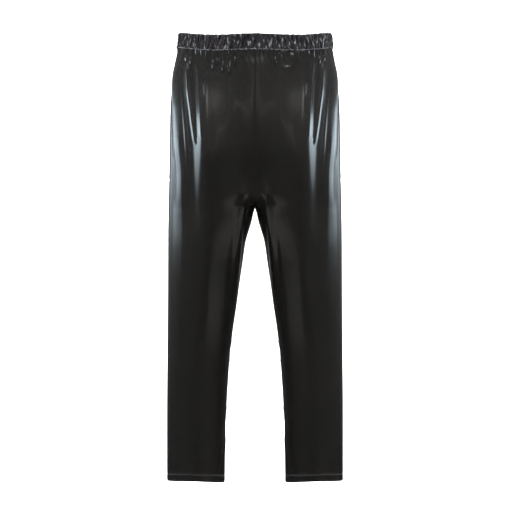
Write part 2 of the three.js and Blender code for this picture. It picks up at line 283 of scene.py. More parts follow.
# Places on the fronts and on the seat are distances from the centre plane
FRONT_CREASES: tuple[Crease, ...] = (
    # The side rolls forward to here, and the cloth lies back between it and the hip fold
    Crease((180, 30), (172, 300), 9, 3.8, bend=-1, head=0.25, tail=0.3, inner_width=22),
    Crease((171, 150), (157, 440), 18, 2.8, head=0.5, tail=0.35, inner_width=20),
    Crease((164, 74), (142, 345), 3.5, 0.45, head=0.2, tail=0.35),
    # The long hip fold: two ridges that meet, with a hollow between them
    Crease((148, 30), (129, 236), 5.5, 2.2, bend=-4, head=0.15, tail=0.1, inner_width=5),
    Crease((149, 40), (143, 160), 9, 1.5, bend=-2, head=0.2, tail=0.5, inner_width=5),
    Crease((137, 34), (123, 228), 6, -1.4, bend=-1, head=0.15, tail=0.07, inner_width=9),
    Crease((128.5, 28), (115, 222), 3, 0.95, bend=1.5, head=0.1, tail=0.07, inner_width=7),
    Crease((127, 219), (124, 231), 4, -1.8, head=0.5, tail=0.5),
    # The one soft crest that they run into
    Crease((103, 30), (100, 700), 36, 12.5, head=0.33, tail=0.55, inner_width=100),
    # Folds nearer the middle
    Crease((107, 84), (97, 262), 3.8, 1.5, head=0.2, tail=0.5),
    Crease((112, 78), (106, 126), 4, -1.6, head=0.3, tail=0.4),
    Crease((58, 40), (54, 224), 9, 1.6, head=0.1, tail=0.7),
    Crease((76, 60), (72, 250), 14, -0.8, head=0.3, tail=0.5),
    Crease((3, 20), (5, 330), 40, 1.9, head=0.1, tail=0.2),
    # Thigh line that springs from the fork
    Crease((12, 280), (47, 640), 16, 5, bend=-9, head=0.3, tail=0.5, inner_width=9),
    Crease((21, 362), (17, 428), 3.5, 1.4, head=0.3, tail=0.3),
)

LOOP_FOLD: tuple[Crease, ...] = (
    # A lifted loop of cloth under the band, on the left side alone
    Crease((78, 16), (74, 66), 10, 2.1, bend=-4, head=0.15, tail=0.4, inner_width=5),
    Crease((56, 16), (66, 64), 5, 1.8, bend=5, head=0.15, tail=0.4, inner_width=8),
    Crease((62, 57), (79, 56), 7, 1.1, bend=-5, head=0.5, tail=0.5, inner_width=8),
)

BACK_CREASES: tuple[Crease, ...] = (
    Crease((152, 22), (138, 230), 10, -3.2, head=0.1, tail=0.5),
    Crease((120, 22), (112, 190), 8, 2.4, head=0.1, tail=0.6),
    Crease((76, 22), (64, 170), 11, -2.4, head=0.1, tail=0.6),
    Crease((40, 24), (36, 130), 7, 1.6, head=0.1, tail=0.6),
    Crease((52, 306), (132, 420), 12, -3.4, bend=9, head=0.3, tail=0.4),
    Crease((40, 340), (112, 452), 10, 2, bend=8, head=0.3, tail=0.4),
    Crease((24, 330), (80, 470), 8, -2, bend=6, head=0.3, tail=0.5),
    Crease((126, 400), (118, 720), 15, 1.8, head=0.3, tail=0.5),
)

# Places on the sides and the legs are distances round the panel from the side seam
SIDE_CREASES: tuple[Crease, ...] = (
    # Crease across the side where the pocket inside ends
    Crease((-12, 305), (40, 302), 3.5, -1.3, head=0.1, tail=0.3),
    Crease((-12, 299), (34, 296), 4.5, 0.5, head=0.1, tail=0.4),
)

LEG_CREASES: tuple[Crease, ...] = (
    # Small pulls on the inside leg seam at the knee and the calf
    Crease((240, 664), (205, 690), 6, 1.3, head=0.05, tail=0.8),
    Crease((240, 684), (200, 716), 6, -1.4, head=0.05, tail=0.8),
    Crease((240, 706), (210, 728), 5, 1.1, head=0.05, tail=0.8),
    Crease((240, 812), (206, 838), 6, 1.2, head=0.05, tail=0.8),
    Crease((240, 842), (214, 858), 5, -1.2, head=0.05, tail=0.8),
    Crease((238, 868), (212, 972), 6, 1.5, bend=4, head=0.2, tail=0.3),
    Crease((228, 880), (200, 968), 7, -1.3, bend=4, head=0.3, tail=0.3),
    # Soft folds above the hem
    Crease((66, 880), (62, 976), 7, 1.5, head=0.5, tail=0.1),
    Crease((84, 900), (82, 976), 8, -1.2, head=0.5, tail=0.1),
    Crease((110, 930), (112, 978), 6, 1, head=0.5, tail=0.1),
    Crease((150, 905), (156, 978), 9, -1, head=0.5, tail=0.1),
    Crease((30, 900), (26, 976), 9, 1, head=0.5, tail=0.1),
)

KNEE_CREASES: tuple[Crease, ...] = (
    # Folds behind the knee
    Crease((236, 600), (96, 640), 9, -2.4, bend=5, head=0.1, tail=0.6),
    Crease((236, 650), (120, 668), 8, 1.8, bend=-4, head=0.1, tail=0.6),
    Crease((10, 612), (110, 655), 9, -1.8, bend=-5, head=0.2, tail=0.6),
    Crease((236, 560), (150, 600), 8, 1.4, head=0.1, tail=0.6),
)


@dataclass(frozen=True)
class Ripple:
    """A fine wrinkle wave round the waist: how many, how high, how far it leans, where it starts."""

    count: int
    height: float
    lean: float
    start: float


@dataclass(frozen=True)
class Gathering:
    """The gathers that the elastic pulls into the leather, in turns round the waist."""

    count: int = 80
    height: float = 5.2
    # Uneven spacing and uneven size: waves round the waist, size, start
    drift: tuple[tuple[float, float, float], ...] = (
        (7, 0.0020, 1.0),
        (17, 0.0018, 2.0),
        (29, 0.0013, 0.4),
        (41, 0.0008, 5.1),
    )
    swell: tuple[tuple[float, float, float], ...] = (
        (11, 0.20, 0.7),
        (23, 0.18, 2.6),
        (37, 0.16, 1.1),
        (5, 0.10, 4.0),
    )
    ripples: tuple[Ripple, ...] = (
        Ripple(47, 0.85, 1.6, 0.9),
        Ripple(97, 0.7, -2.4, 2.2),
        Ripple(131, 0.5, 2.2, 0.3),
        Ripple(171, 0.36, -3.2, 4.4),
        Ripple(223, 0.24, 3.8, 1.3),
    )
    bunched_at: float = 0.25
    bunched_width: float = 0.05
    bunched_lean: float = 0.42
    wander: float = 0.16
    wander_waves: int = 13
    wander_lean: float = 2.6
    fullness: float = 1.9
    usual_size: float = 0.8
    swell_lean: float = 0.9
    sway: float = 0.7
    sway_share: int = 7
    curl: float = 0.8
    curl_waves: float = 2.3

    def phase(self, turn: np.ndarray) -> np.ndarray:
        """Number of gathers passed at a turn, unevenly spaced."""
        shifted = turn.copy()
        for waves, size, start in self.drift:
            shifted = shifted + size * np.sin(TURN * waves * turn + start)
        return shifted * self.count

    def crest(self, turn: np.ndarray, level: np.ndarray | float = 0.0) -> np.ndarray:
        """Height of the gathers, from 0 in a valley to about 1.

        Args:
            turn: turn round the waist.
            level: height on the band, from -1 at its lower edge to 1 at its upper edge.

        Returns:
            The share of the full height. Where the band is bunched at the centre front, each two
            gathers lean together towards the upper edge.
        """
        bunched = hump((turn - self.bunched_at) / self.bunched_width)
        number = self.phase(turn)
        leaning = self.bunched_lean * bunched * (1.0 + level) * np.sin(math.pi * number)
        wave = np.sin(TURN * self.wander_waves * turn + self.wander_lean * level)
        part = np.mod(number + leaning + self.wander * wave * level, 1.0)
        top = 1.0 - np.abs(2.0 * part - 1.0) ** self.fullness
        size = np.full_like(turn, self.usual_size)
        for waves, depth, start in self.swell:
            size = size + depth * np.sin(TURN * waves * turn + start + self.swell_lean * level)
        return top * size

    def crumple(self, turn: np.ndarray, level: np.ndarray) -> np.ndarray:
        """Height in millimetres of the fine wrinkles over the gathers."""
        total = np.zeros_like(turn)
        for ripple in self.ripples:
            sway = self.sway * np.sin(TURN * (ripple.count // self.sway_share) * turn)
            curl = self.curl * np.sin(self.curl_waves * level + ripple.start)
            waves = TURN * ripple.count * turn + ripple.start
            total = total + ripple.height * np.sin(waves + ripple.lean * level + curl + sway)
        return total


@dataclass(frozen=True)
class HighPleat:
    """A short pleat under the band, and the small raised tip that it ends in.

    at is its distance from the centre plane.
    """

    at: float
    length: float
    half_width: float
    rise: float
    tip: float = 0.0
    fold_spread: float = 1.5
    tip_place: float = 0.72
    tip_reach: float = 0.34

    def height(self, seen: np.ndarray, below: np.ndarray) -> np.ndarray:
        """Height of the pleat at a distance from the centre plane and below the band."""
        beside = seen - self.at
        down = below / self.length
        fold = self.rise * ease(1.0 - down) * hump(beside / (self.fold_spread * self.half_width))
        at_tip = hump((down - self.tip_place) / self.tip_reach)
        return fold + self.tip * at_tip * hump(beside / self.half_width)


FRONT_PLEATS: tuple[HighPleat, ...] = (
    HighPleat(160, 22, 4, 2),
    HighPleat(152, 30, 3.5, 2.2, 1.7),
    HighPleat(141, 36, 3.2, 2, 2.5),
    HighPleat(127, 26, 3.4, 2.5),
    HighPleat(116, 20, 3.4, 2.5),
    HighPleat(104, 26, 3.4, 2.8),
    HighPleat(30, 20, 3.2, 2, 1.1),
    HighPleat(19, 16, 3, 1.7),
    HighPleat(8, 20, 3, 1.5),
)

# The middle pleats differ from right to left, where a loop of cloth takes the place of some
RIGHT_FRONT_PLEATS: tuple[HighPleat, ...] = (
    HighPleat(91, 46, 3.4, 3.1, 3.6),
    HighPleat(82, 38, 3, 3.4, 3.4),
    HighPleat(69, 54, 3.2, 3.6, 4.5),
    HighPleat(54, 60, 3, 3.1, 4.2),
    HighPleat(43, 36, 3, 3.1, 3.9),
)

LEFT_FRONT_PLEATS: tuple[HighPleat, ...] = (
    HighPleat(93, 24, 3.4, 2.5, 1.7),
    HighPleat(67, 22, 3.2, 2.8),
    HighPleat(44, 36, 3.2, 3.1, 3.9),
    HighPleat(56, 26, 3.2, 2.2),
)

BACK_PLEATS: tuple[HighPleat, ...] = (
    HighPleat(160, 40, 5, 2),
    HighPleat(147, 56, 4.5, 2.4, 1.4),
    HighPleat(131, 38, 4.5, 2.2),
    HighPleat(116, 60, 4.5, 2.8, 1.8),
    HighPleat(99, 36, 4.5, 2.2),
    HighPleat(84, 52, 4, 2.6, 1.6),
    HighPleat(68, 34, 4.5, 2),
    HighPleat(51, 46, 4, 2.4, 1.2),
    HighPleat(35, 30, 4.5, 1.8),
    HighPleat(19, 40, 4, 2, 1),
    HighPleat(5, 26, 4, 1.4),
)


# Sockets of a colour mix node, which share their names with those for numbers
MIX_FACTOR = 0
MIX_A = 6
MIX_B = 7
MIX_RESULT = 2
WAVE_RATE = 20.0  # phase that a wave texture gains over a length of 1 at a scale of 1


def linear(code: str) -> tuple[float, float, float, float]:
    """Linear colour of an sRGB hex code such as 1b1b1c."""
    parts = [int(code[i : i + 2], 16) / 255.0 for i in (0, 2, 4)]
    straight = [p / 12.92 if p <= 0.04045 else ((p + 0.055) / 1.055) ** 2.4 for p in parts]
    return (*straight, 1.0)


def add_node(
    tree: bpy.types.NodeTree,
    kind: str,
    settings: dict[str | int, object] | None = None,
    links: dict[str | int, bpy.types.NodeSocket] | None = None,
) -> bpy.types.Node:
    """Adds one node to a material.

    Args:
        tree: the material's node tree.
        kind: the node's type name, without the word that all of them start with.
        settings: attributes of the node by name, or values of its inputs by name or number.
        links: output sockets to join to its inputs, by input name or number.

    Returns:
        The new node.
    """
    node = tree.nodes.new(f"ShaderNode{kind}")
    for name, value in (settings or {}).items():
        if isinstance(name, str) and hasattr(node, name):
            setattr(node, name, value)
        else:
            node.inputs[name].default_value = value
    for name, source in (links or {}).items():
        tree.links.new(source, node.inputs[name])
    return node


def new_material(name: str) -> tuple[bpy.types.Material, bpy.types.NodeTree]:
    """An empty node material and its tree."""
    made = bpy.data.materials.new(name)
    made.use_nodes = True
    made.node_tree.nodes.clear()
    return made, made.node_tree


@dataclass(frozen=True)
class CoatedLeather:
    """Split leather under a black polyurethane film, pressed smooth and polished.

    The film gives a sharp wet-looking reflection, and the leather under it a soft one.
    """

    name: str = "coated_black_leather"
    dark: str = "080808"
    light: str = "0e0d0c"
    roughness_low: float = 0.18
    roughness_high: float = 0.27
    coat: float = 0.55
    coat_roughness: float = 0.12
    ior: float = 1.5
    clouds_per_m: float = 9.0  # the film is a little browner in soft patches
    grain_mm: float = 2.6  # pressed grain is 0.6 mm and is drawn coarser, so that it shows
    grain_depth_mm: float = 0.0015
    streak_mm: float = 56.0  # soft draw lines that run down the cloth
    streak_depth_mm: float = 0.45
    streak_stretch: float = 0.09

    def build(self) -> bpy.types.Material:
        """The film over the leather: brown clouds, draw lines and a pressed grain."""
        made, tree = new_material(self.name)
        spot = add_node(tree, "TexCoord").outputs["Object"]
        stretch = {"Scale": (1.0, 1.0, self.streak_stretch)}
        drawn = add_node(tree, "Mapping", stretch, {"Vector": spot})
        cloud = add_node(tree, "TexNoise", {"Scale": self.clouds_per_m, "Detail": 3.0}, {"Vector": spot})
        lines = {"Scale": 1.0 / (self.streak_mm * MM), "Detail": 2.0, "Roughness": 0.45}
        streak = add_node(tree, "TexNoise", lines, {"Vector": drawn.outputs["Vector"]})
        grain = add_node(tree, "TexVoronoi", {"Scale": 1.0 / (self.grain_mm * MM)}, {"Vector": spot})
        colour = add_node(
            tree,
            "Mix",
            {"data_type": "RGBA", MIX_A: linear(self.dark), MIX_B: linear(self.light)},
            {MIX_FACTOR: cloud.outputs["Fac"]},
        )
        rough = add_node(
            tree,
            "MapRange",
            {"From Min": 0.3, "From Max": 0.7, "To Min": self.roughness_low, "To Max": self.roughness_high},
            {"Value": streak.outputs["Fac"]},
        )
        depth = {"Distance": self.grain_depth_mm * MM}
        pressed = add_node(tree, "Bump", depth, {"Height": grain.outputs["Distance"]})
        creased = add_node(
            tree,
            "Bump",
            {"Distance": self.streak_depth_mm * MM},
            {"Height": streak.outputs["Fac"], "Normal": pressed.outputs["Normal"]},
        )
        shader = add_node(
            tree,
            "BsdfPrincipled",
            {"IOR": self.ior, "Coat Weight": self.coat, "Coat Roughness": self.coat_roughness},
            {
                "Base Color": colour.outputs[MIX_RESULT],
                "Roughness": rough.outputs["Result"],
                "Normal": creased.outputs["Normal"],
                "Coat Normal": creased.outputs["Normal"],
            },
        )
        add_node(tree, "OutputMaterial", {}, {"Surface": shader.outputs["BSDF"]})
        return made


@dataclass(frozen=True)
class KnittedBacking:
    """Brushed cotton jersey that the leather is bonded to, seen only inside the openings.

    It is matt and slightly fuzzy, so it takes no highlight.
    """

    name: str = "brushed_jersey_backing"
    dark: str = "1c1c20"
    light: str = "35353b"
    roughness: float = 0.92
    sheen: float = 0.3
    ior: float = 1.45
    rib_mm: float = 3.0  # jersey wales are 1 mm and are drawn coarser, so that they show
    rib_depth_mm: float = 0.3

    def build(self) -> bpy.types.Material:
        """The brushed jersey: grey fuzz, raised a little."""
        made, tree = new_material(self.name)
        spot = add_node(tree, "TexCoord").outputs["Object"]
        scale = {"Scale": 1.0 / (self.rib_mm * MM), "Detail": 4.0}
        fuzz = add_node(tree, "TexNoise", scale, {"Vector": spot})
        colour = add_node(
            tree,
            "Mix",
            {"data_type": "RGBA", MIX_A: linear(self.dark), MIX_B: linear(self.light)},
            {MIX_FACTOR: fuzz.outputs["Fac"]},
        )
        depth = {"Strength": 0.5, "Distance": self.rib_depth_mm * MM}
        soft = add_node(tree, "Bump", depth, {"Height": fuzz.outputs["Fac"]})
        shader = add_node(
            tree,
            "BsdfPrincipled",
            {"Roughness": self.roughness, "IOR": self.ior, "Sheen Weight": self.sheen},
            {"Base Color": colour.outputs[MIX_RESULT], "Normal": soft.outputs["Normal"]},
        )
        add_node(tree, "OutputMaterial", {}, {"Surface": shader.outputs["BSDF"]})
        return made


@dataclass(frozen=True)
class SewingThread:
    """Twisted polyester thread, slightly shiny, with a ply that shows as a fine twist."""

    name: str
    colour: str
    roughness: float = 0.5
    ior: float = 1.53
    twist_mm: float = 7.54  # a real twist is under 1 mm and is drawn coarser, so that it shows
    ply_depth_mm: float = 0.15

    def build(self) -> bpy.types.Material:
        """The thread, with its twist raised a little."""
        made, tree = new_material(self.name)
        spot = add_node(tree, "TexCoord").outputs["Object"]
        scale = {"Scale": TURN / WAVE_RATE / (self.twist_mm * MM), "Distortion": 1.0}
        twist = add_node(tree, "TexWave", scale, {"Vector": spot})
        depth = {"Strength": 0.6, "Distance": self.ply_depth_mm * MM}
        ply = add_node(tree, "Bump", depth, {"Height": twist.outputs["Fac"]})
        shader = add_node(
            tree,
            "BsdfPrincipled",
            {"Base Color": linear(self.colour), "Roughness": self.roughness, "IOR": self.ior},
            {"Normal": ply.outputs["Normal"]},
        )
        add_node(tree, "OutputMaterial", {}, {"Surface": shader.outputs["BSDF"]})
        return made


def link_object(name: str, mesh: bpy.types.Mesh, *finishes: bpy.types.Material) -> bpy.types.Object:
    """Puts a smooth mesh in the scene as an object at the origin, with its finishes."""
    made = bpy.data.objects.new(name, mesh)
    bpy.context.scene.collection.objects.link(made)
    for finish in finishes:
        mesh.materials.append(finish)
    mesh.shade_smooth()
    return made


def grid_mesh(name: str, columns: int, rows: int) -> tuple[bpy.types.Mesh, np.ndarray, np.ndarray]:
    """A flat grid to be laid on a form.

    Args:
        name: the mesh's name.
        columns: cells across.
        rows: cells down.

    Returns:
        The mesh, and each point's share across and down.
    """
    shape = bmesh.new()
    bmesh.ops.create_grid(shape, x_segments=columns, y_segments=rows, size=0.5)
    mesh = bpy.data.meshes.new(name)
    shape.to_mesh(mesh)
    shape.free()
    flat = np.empty(len(mesh.vertices) * 3)
    mesh.vertices.foreach_get("co", flat)
    flat = flat.reshape(-1, 3)
    return mesh, flat[:, 0] + 0.5, flat[:, 1] + 0.5


def crowded(share: np.ndarray, amount: float) -> np.ndarray:
    """Moves even shares towards both ends, so that the edges get finer cells."""
    return share - amount * np.sin(TURN * share) / TURN


@dataclass
class LegPanel:
    """One leather panel, laid on the figure with its folds, gathers and rolled seam edges."""

    figure: Figure
    face: Face
    leg: Leg
    gathering: Gathering
    columns: int = 182
    rows: int = 244
    # Shares of the rows, and the shares of the length that they reach: finest at the waist and fork
    row_stops: tuple[float, ...] = (0.0, 0.34, 0.42, 0.55, 0.93, 1.0)
    drop_stops: tuple[float, ...] = (0.0, 0.215, 0.325, 0.4, 0.974, 1.0)
    top: float = 11.5
    hem_outside: float = 975.0
    hem_inside: float = 979.0
    hem_rise_front: float = 6.0
    wall: float = 1.3
    seam_roll: float = 0.5
    seam_roll_width: float = 1.4
    hem_turn: float = 15.5
    stitch_dent: float = 0.6
    stitch_dent_width: float = 1.8
    hem_fold: float = 1.2
    hem_fold_width: float = 1.4
    gather_rise: float = 2.6
    gather_reach: float = 10.0
    wrinkle_rise: float = 0.95
    wrinkle_reach: float = 20.0
    wrinkle_wander: float = 22.0
    smooth_side: float = 12.0
    crowding: float = 0.25
    # Width, length and area that a panel is cut to, in metres
    cut: dict[Face, tuple[float, float, float]] = field(
        default_factory=lambda: {
            Face.FRONT: (0.310, 0.975, 0.236),
            Face.BACK: (0.345, 0.985, 0.258),
        }
    )
    points: np.ndarray | None = None

    @property
    def name(self) -> str:
        """Name of the panel's node in the frame."""
        return f"{self.face.value}_{self.leg.label}"

    def hem(self, angle: np.ndarray) -> np.ndarray:
        """Drop of the hem at an angle round the leg."""
        level = mix(self.hem_outside, self.hem_inside, (1.0 - np.cos(angle)) / 2.0)
        rise = self.hem_rise_front if self.face is Face.FRONT else 0.0
        return level - rise * np.sin(angle) ** 2

    def turn(self, angle: np.ndarray) -> np.ndarray:
        """Turn round the waist, from the left side seam by the front, at an angle of the panel."""
        part = angle / TURN
        if self.face is Face.FRONT:
            return part if self.leg is Leg.LEFT else 0.5 - part
        return 1.0 - part if self.leg is Leg.LEFT else 0.5 + part

    def relief(
        self, seen: np.ndarray, around: np.ndarray, drop: np.ndarray, turn: np.ndarray
    ) -> np.ndarray:
        """Adds up the folds, creases, pleats and gathers of the panel.

        Args:
            seen: distance from the centre plane.
            around: distance round the panel from the side seam.
            drop: distance below the origin.
            turn: turn round the waist.

        Returns:
            Height along the outward normal.
        """
        total = np.zeros_like(drop)
        below = np.maximum(0.0, drop - self.top)
        seen_creases, round_creases = self.creases()
        for crease in seen_creases:
            total += crease.height(seen, drop)
        for crease in round_creases:
            total += crease.height(around, drop)
        for pleat in self.pleats():
            total += pleat.height(seen, below)
        gathers = self.gathering.crest(turn) - 0.5
        total += self.gather_rise * gathers * np.exp(-below / self.gather_reach)
        wrinkles = self.gathering.crumple(turn, -1.0 - below / self.wrinkle_wander)
        total += self.wrinkle_rise * wrinkles * np.exp(-below / self.wrinkle_reach)
        total *= ease(around / self.smooth_side)
        for crease in SIDE_CREASES:
            total += crease.height(around, drop)
        return total

    def creases(self) -> tuple[tuple[Crease, ...], tuple[Crease, ...]]:
        """Creases placed from the centre plane, and those placed round the panel."""
        if self.face is Face.BACK:
            return BACK_CREASES, KNEE_CREASES + LEG_CREASES
        loop = LOOP_FOLD if self.leg is Leg.LEFT else ()
        return FRONT_CREASES + loop, LEG_CREASES

    def pleats(self) -> tuple[HighPleat, ...]:
        """Pleats of this panel."""
        if self.face is Face.BACK:
            return BACK_PLEATS
        own = LEFT_FRONT_PLEATS if self.leg is Leg.LEFT else RIGHT_FRONT_PLEATS
        return FRONT_PLEATS + own

    def lay(self) -> bpy.types.Mesh:
        """Lays the grid on the figure.

        Returns:
            The panel's outer surface, in metres.
        """
        mesh, across, down = grid_mesh(self.name, self.columns, self.rows)
        shape = (self.rows + 1, self.columns + 1)
        order = np.lexsort((np.round(across, 6), np.round(down, 6)))
        u = crowded(across[order].reshape(shape), self.crowding)
        v = np.interp(down[order].reshape(shape), self.row_stops, self.drop_stops)
        rough = self.top + v * (self.hem_outside - self.top)
        angle = u * self.figure.end_angle(rough, self.face)
        drop = self.top + v * (self.hem(angle) - self.top)
        angle = u * self.figure.end_angle(drop, self.face)
        plain = self.figure.place(drop, angle, self.face)
        run = np.linalg.norm(np.diff(plain, axis=1), axis=2)
        arc = np.concatenate([np.zeros((shape[0], 1)), np.cumsum(run, axis=1)], axis=1)
        width = arc[:, -1:]
        around = arc / width * PANEL_ROUND
        normal = self.normals(plain)
        height = self.relief(plain[..., 0], around, drop, self.turn(angle))
        edge = np.minimum(arc, width - arc)
        height -= self.seam_roll * np.exp(-((edge / self.seam_roll_width) ** 2))
        height -= self.hem_stitch(self.hem(angle) - drop)
        points = plain + normal * height[..., None]
        points[..., 2] -= self.figure.dip(plain[..., 0], self.face) * self.figure.dip_left(drop)
        points[..., 0] = np.maximum(points[..., 0], 0.0)
        points[..., 1] = self.face.away * np.maximum(self.face.away * points[..., 1], 0.0)
        points[:, 0, 1] = 0.0
        above_fork = drop[:, -1] < self.figure.crotch
        points[above_fork, -1, 0] = 0.0
        points[~above_fork, -1, 1] = 0.0
        points[..., 0] *= self.leg.value
        self.points = points
        placed = np.empty((len(across), 3))
        placed[order] = points.reshape(-1, 3) * MM
        mesh.vertices.foreach_set("co", placed.ravel())
        if self.leg.value * self.face.away > 0:
            mesh.flip_normals()
        mesh.update()
        return mesh

    def hem_stitch(self, above: np.ndarray) -> np.ndarray:
        """Depth of the dent that the hem's stitches pull, and of the rounded fold below them."""
        beside = (above - self.hem_turn) / self.stitch_dent_width
        dent = self.stitch_dent * np.exp(-(beside**2))
        return dent + self.hem_fold * np.exp(-((above / self.hem_fold_width) ** 2))

    def normals(self, plain: np.ndarray) -> np.ndarray:
        """Outward normals of a laid grid of points."""
        round_way = np.gradient(plain, axis=1)
        down_way = np.gradient(plain, axis=0)
        normal = np.cross(round_way, down_way)
        normal *= -self.face.away
        return normal / np.linalg.norm(normal, axis=2, keepdims=True)

    def build(self, leather: bpy.types.Material, backing: bpy.types.Material) -> bpy.types.Object:
        """Makes the panel and gives it its thickness and finish.

        Args:
            leather: finish of the outside.
            backing: finish of the inside.

        Returns:
            The finished piece.
        """
        piece = link_object(f"{self.name}_leather", self.lay(), leather, backing)
        wall = piece.modifiers.new("wall", "SOLIDIFY")
        wall.thickness = self.wall * MM
        wall.offset = -1.0
        wall.material_offset = 1
        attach(piece, "root")
        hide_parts(self.name)
        return piece

    def hem_line(self) -> np.ndarray:
        """Points of the hem's stitch line, from the side seam to the inside leg seam."""
        above = self.hem_outside - self.top
        share = 1.0 - self.hem_turn / above
        row = np.interp(share, self.drop_stops, self.row_stops) * self.rows
        upper, part = int(row), row - int(row)
        return mix(self.points[upper], self.points[upper + 1], part)


@dataclass
class Waistband:
    """Leather folded over elastic: a soft flat tube, gathered outside, that goes round the waist."""

    figure: Figure
    gathering: Gathering
    samples: int = 15
    around: int = 36
    height: float = 37.0
    thickness: float = 4.2
    centre_drop: float = -4.5
    raised: float = 1.0
    stitch_up: float = 2.6
    cut_length: float = 1150.0
    cut_width: float = 41.0
    face_share: float = 0.5
    fold_share: float = 0.12
    pinch: float = 0.45
    edge_wave: float = 0.9
    # The gathers' height inside, on the fold and outside, by the cosine of the section's turn
    gathered_at: tuple[float, float, float] = (-1.0, 0.2, 1.0)
    gathered: tuple[float, float, float] = (0.25, 0.7, 1.0)

    def profile(self, share: np.ndarray) -> tuple[np.ndarray, np.ndarray, np.ndarray]:
        """Cross-section of the band: its face, the fold over the top, its inside, the lower edge.

        Args:
            share: share of the way round the section, from the lower edge of the outside upwards.

        Returns:
            Height over the band's middle, distance outwards, and how far each point is gathered.
        """
        radius = self.thickness / 2
        straight = self.height / 2 - radius
        inside = 1.0 - self.face_share - 2 * self.fold_share
        stops = np.cumsum([0.0, self.face_share, self.fold_share, inside, self.fold_share])
        turned = np.interp(share, stops, [0.0, 0.0, math.pi, math.pi, TURN])
        level = np.interp(share, stops, [-1.0, 1.0, 1.0, -1.0, -1.0])
        up = straight * level + radius * np.sin(turned)
        out = radius * (np.cos(turned) - 1.0)
        gathered = np.interp(np.cos(turned), self.gathered_at, self.gathered)
        return up, out, gathered

    def surface(
        self, turn: np.ndarray, up: np.ndarray, out: np.ndarray, gathered: np.ndarray
    ) -> np.ndarray:
        """Places points of the band round the waist.

        Args:
            turn: turn round the waist, from the left side seam by the front.
            up: height over the band's middle.
            out: distance outwards.
            gathered: share of the gathers' height.

        Returns:
            The points, in millimetres.
        """
        angle = turn * TURN
        quarter = np.arccos(np.clip(np.abs(np.cos(angle)), 0.0, 1.0))
        level = up / (self.height / 2)
        crest = self.gathering.crest(turn, level) - 0.5
        drop = self.centre_drop - up
        placed = np.empty((len(turn), 3))
        for face in Face:
            here = (np.sin(angle) >= 0.0) == (face is Face.FRONT)
            spot = self.figure.place(drop[here], quarter[here], face)
            flat = np.stack(
                [
                    np.cos(quarter[here]) * self.figure.column(face.value, drop[here]),
                    face.away * np.sin(quarter[here]) * self.figure.column("outer", drop[here]),
                    np.zeros(here.sum()),
                ],
                axis=-1,
            )
            flat /= np.linalg.norm(flat, axis=1, keepdims=True)
            pinched = 1.0 - self.pinch * np.abs(level[here]) ** 3
            wrinkled = self.gathering.height * pinched * crest[here]
            wrinkled = wrinkled + self.gathering.crumple(turn[here], level[here])
            away = self.raised + out[here] + gathered[here] * wrinkled
            dip = self.figure.dip(spot[:, 0], face)
            spot = spot + flat * away[:, None]
            at_edge = np.sign(level[here]) * level[here] ** 4
            spot[:, 2] += self.edge_wave * crest[here] * at_edge - dip
            placed[here] = spot
        placed[:, 0] *= np.where(np.cos(angle) >= 0.0, 1.0, -1.0)
        return placed

    def lay(self) -> bpy.types.Mesh:
        """Lays the band round the waist.

        Returns:
            The closed tube, in metres.
        """
        columns = self.gathering.count * self.samples
        mesh, across, along = grid_mesh("waistband", columns, self.around)
        placed = self.surface(across, *self.profile(along)) * MM
        mesh.vertices.foreach_set("co", placed.ravel())
        shape = bmesh.new()
        shape.from_mesh(mesh)
        bmesh.ops.remove_doubles(shape, verts=shape.verts, dist=0.02 * MM)
        bmesh.ops.recalc_face_normals(shape, faces=shape.faces)
        shape.to_mesh(mesh)
        shape.free()
        return mesh

    def stitch_line(self) -> np.ndarray:
        """Points of the closed line of stitches along the band's lower edge, in order."""
        turn = np.linspace(0.0, 1.0, 2 * self.samples * self.gathering.count + 1)
        up = np.full_like(turn, self.stitch_up - self.height / 2)
        return self.surface(turn, up, np.zeros_like(turn), np.ones_like(turn))

    def build(self, leather: bpy.types.Material) -> bpy.types.Object:
        """Makes the band.

        Args:
            leather: its finish.

        Returns:
            The finished piece.
        """
        piece = link_object("waistband_leather", self.lay(), leather)
        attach(piece, "root")
        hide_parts("waistband")
        return piece


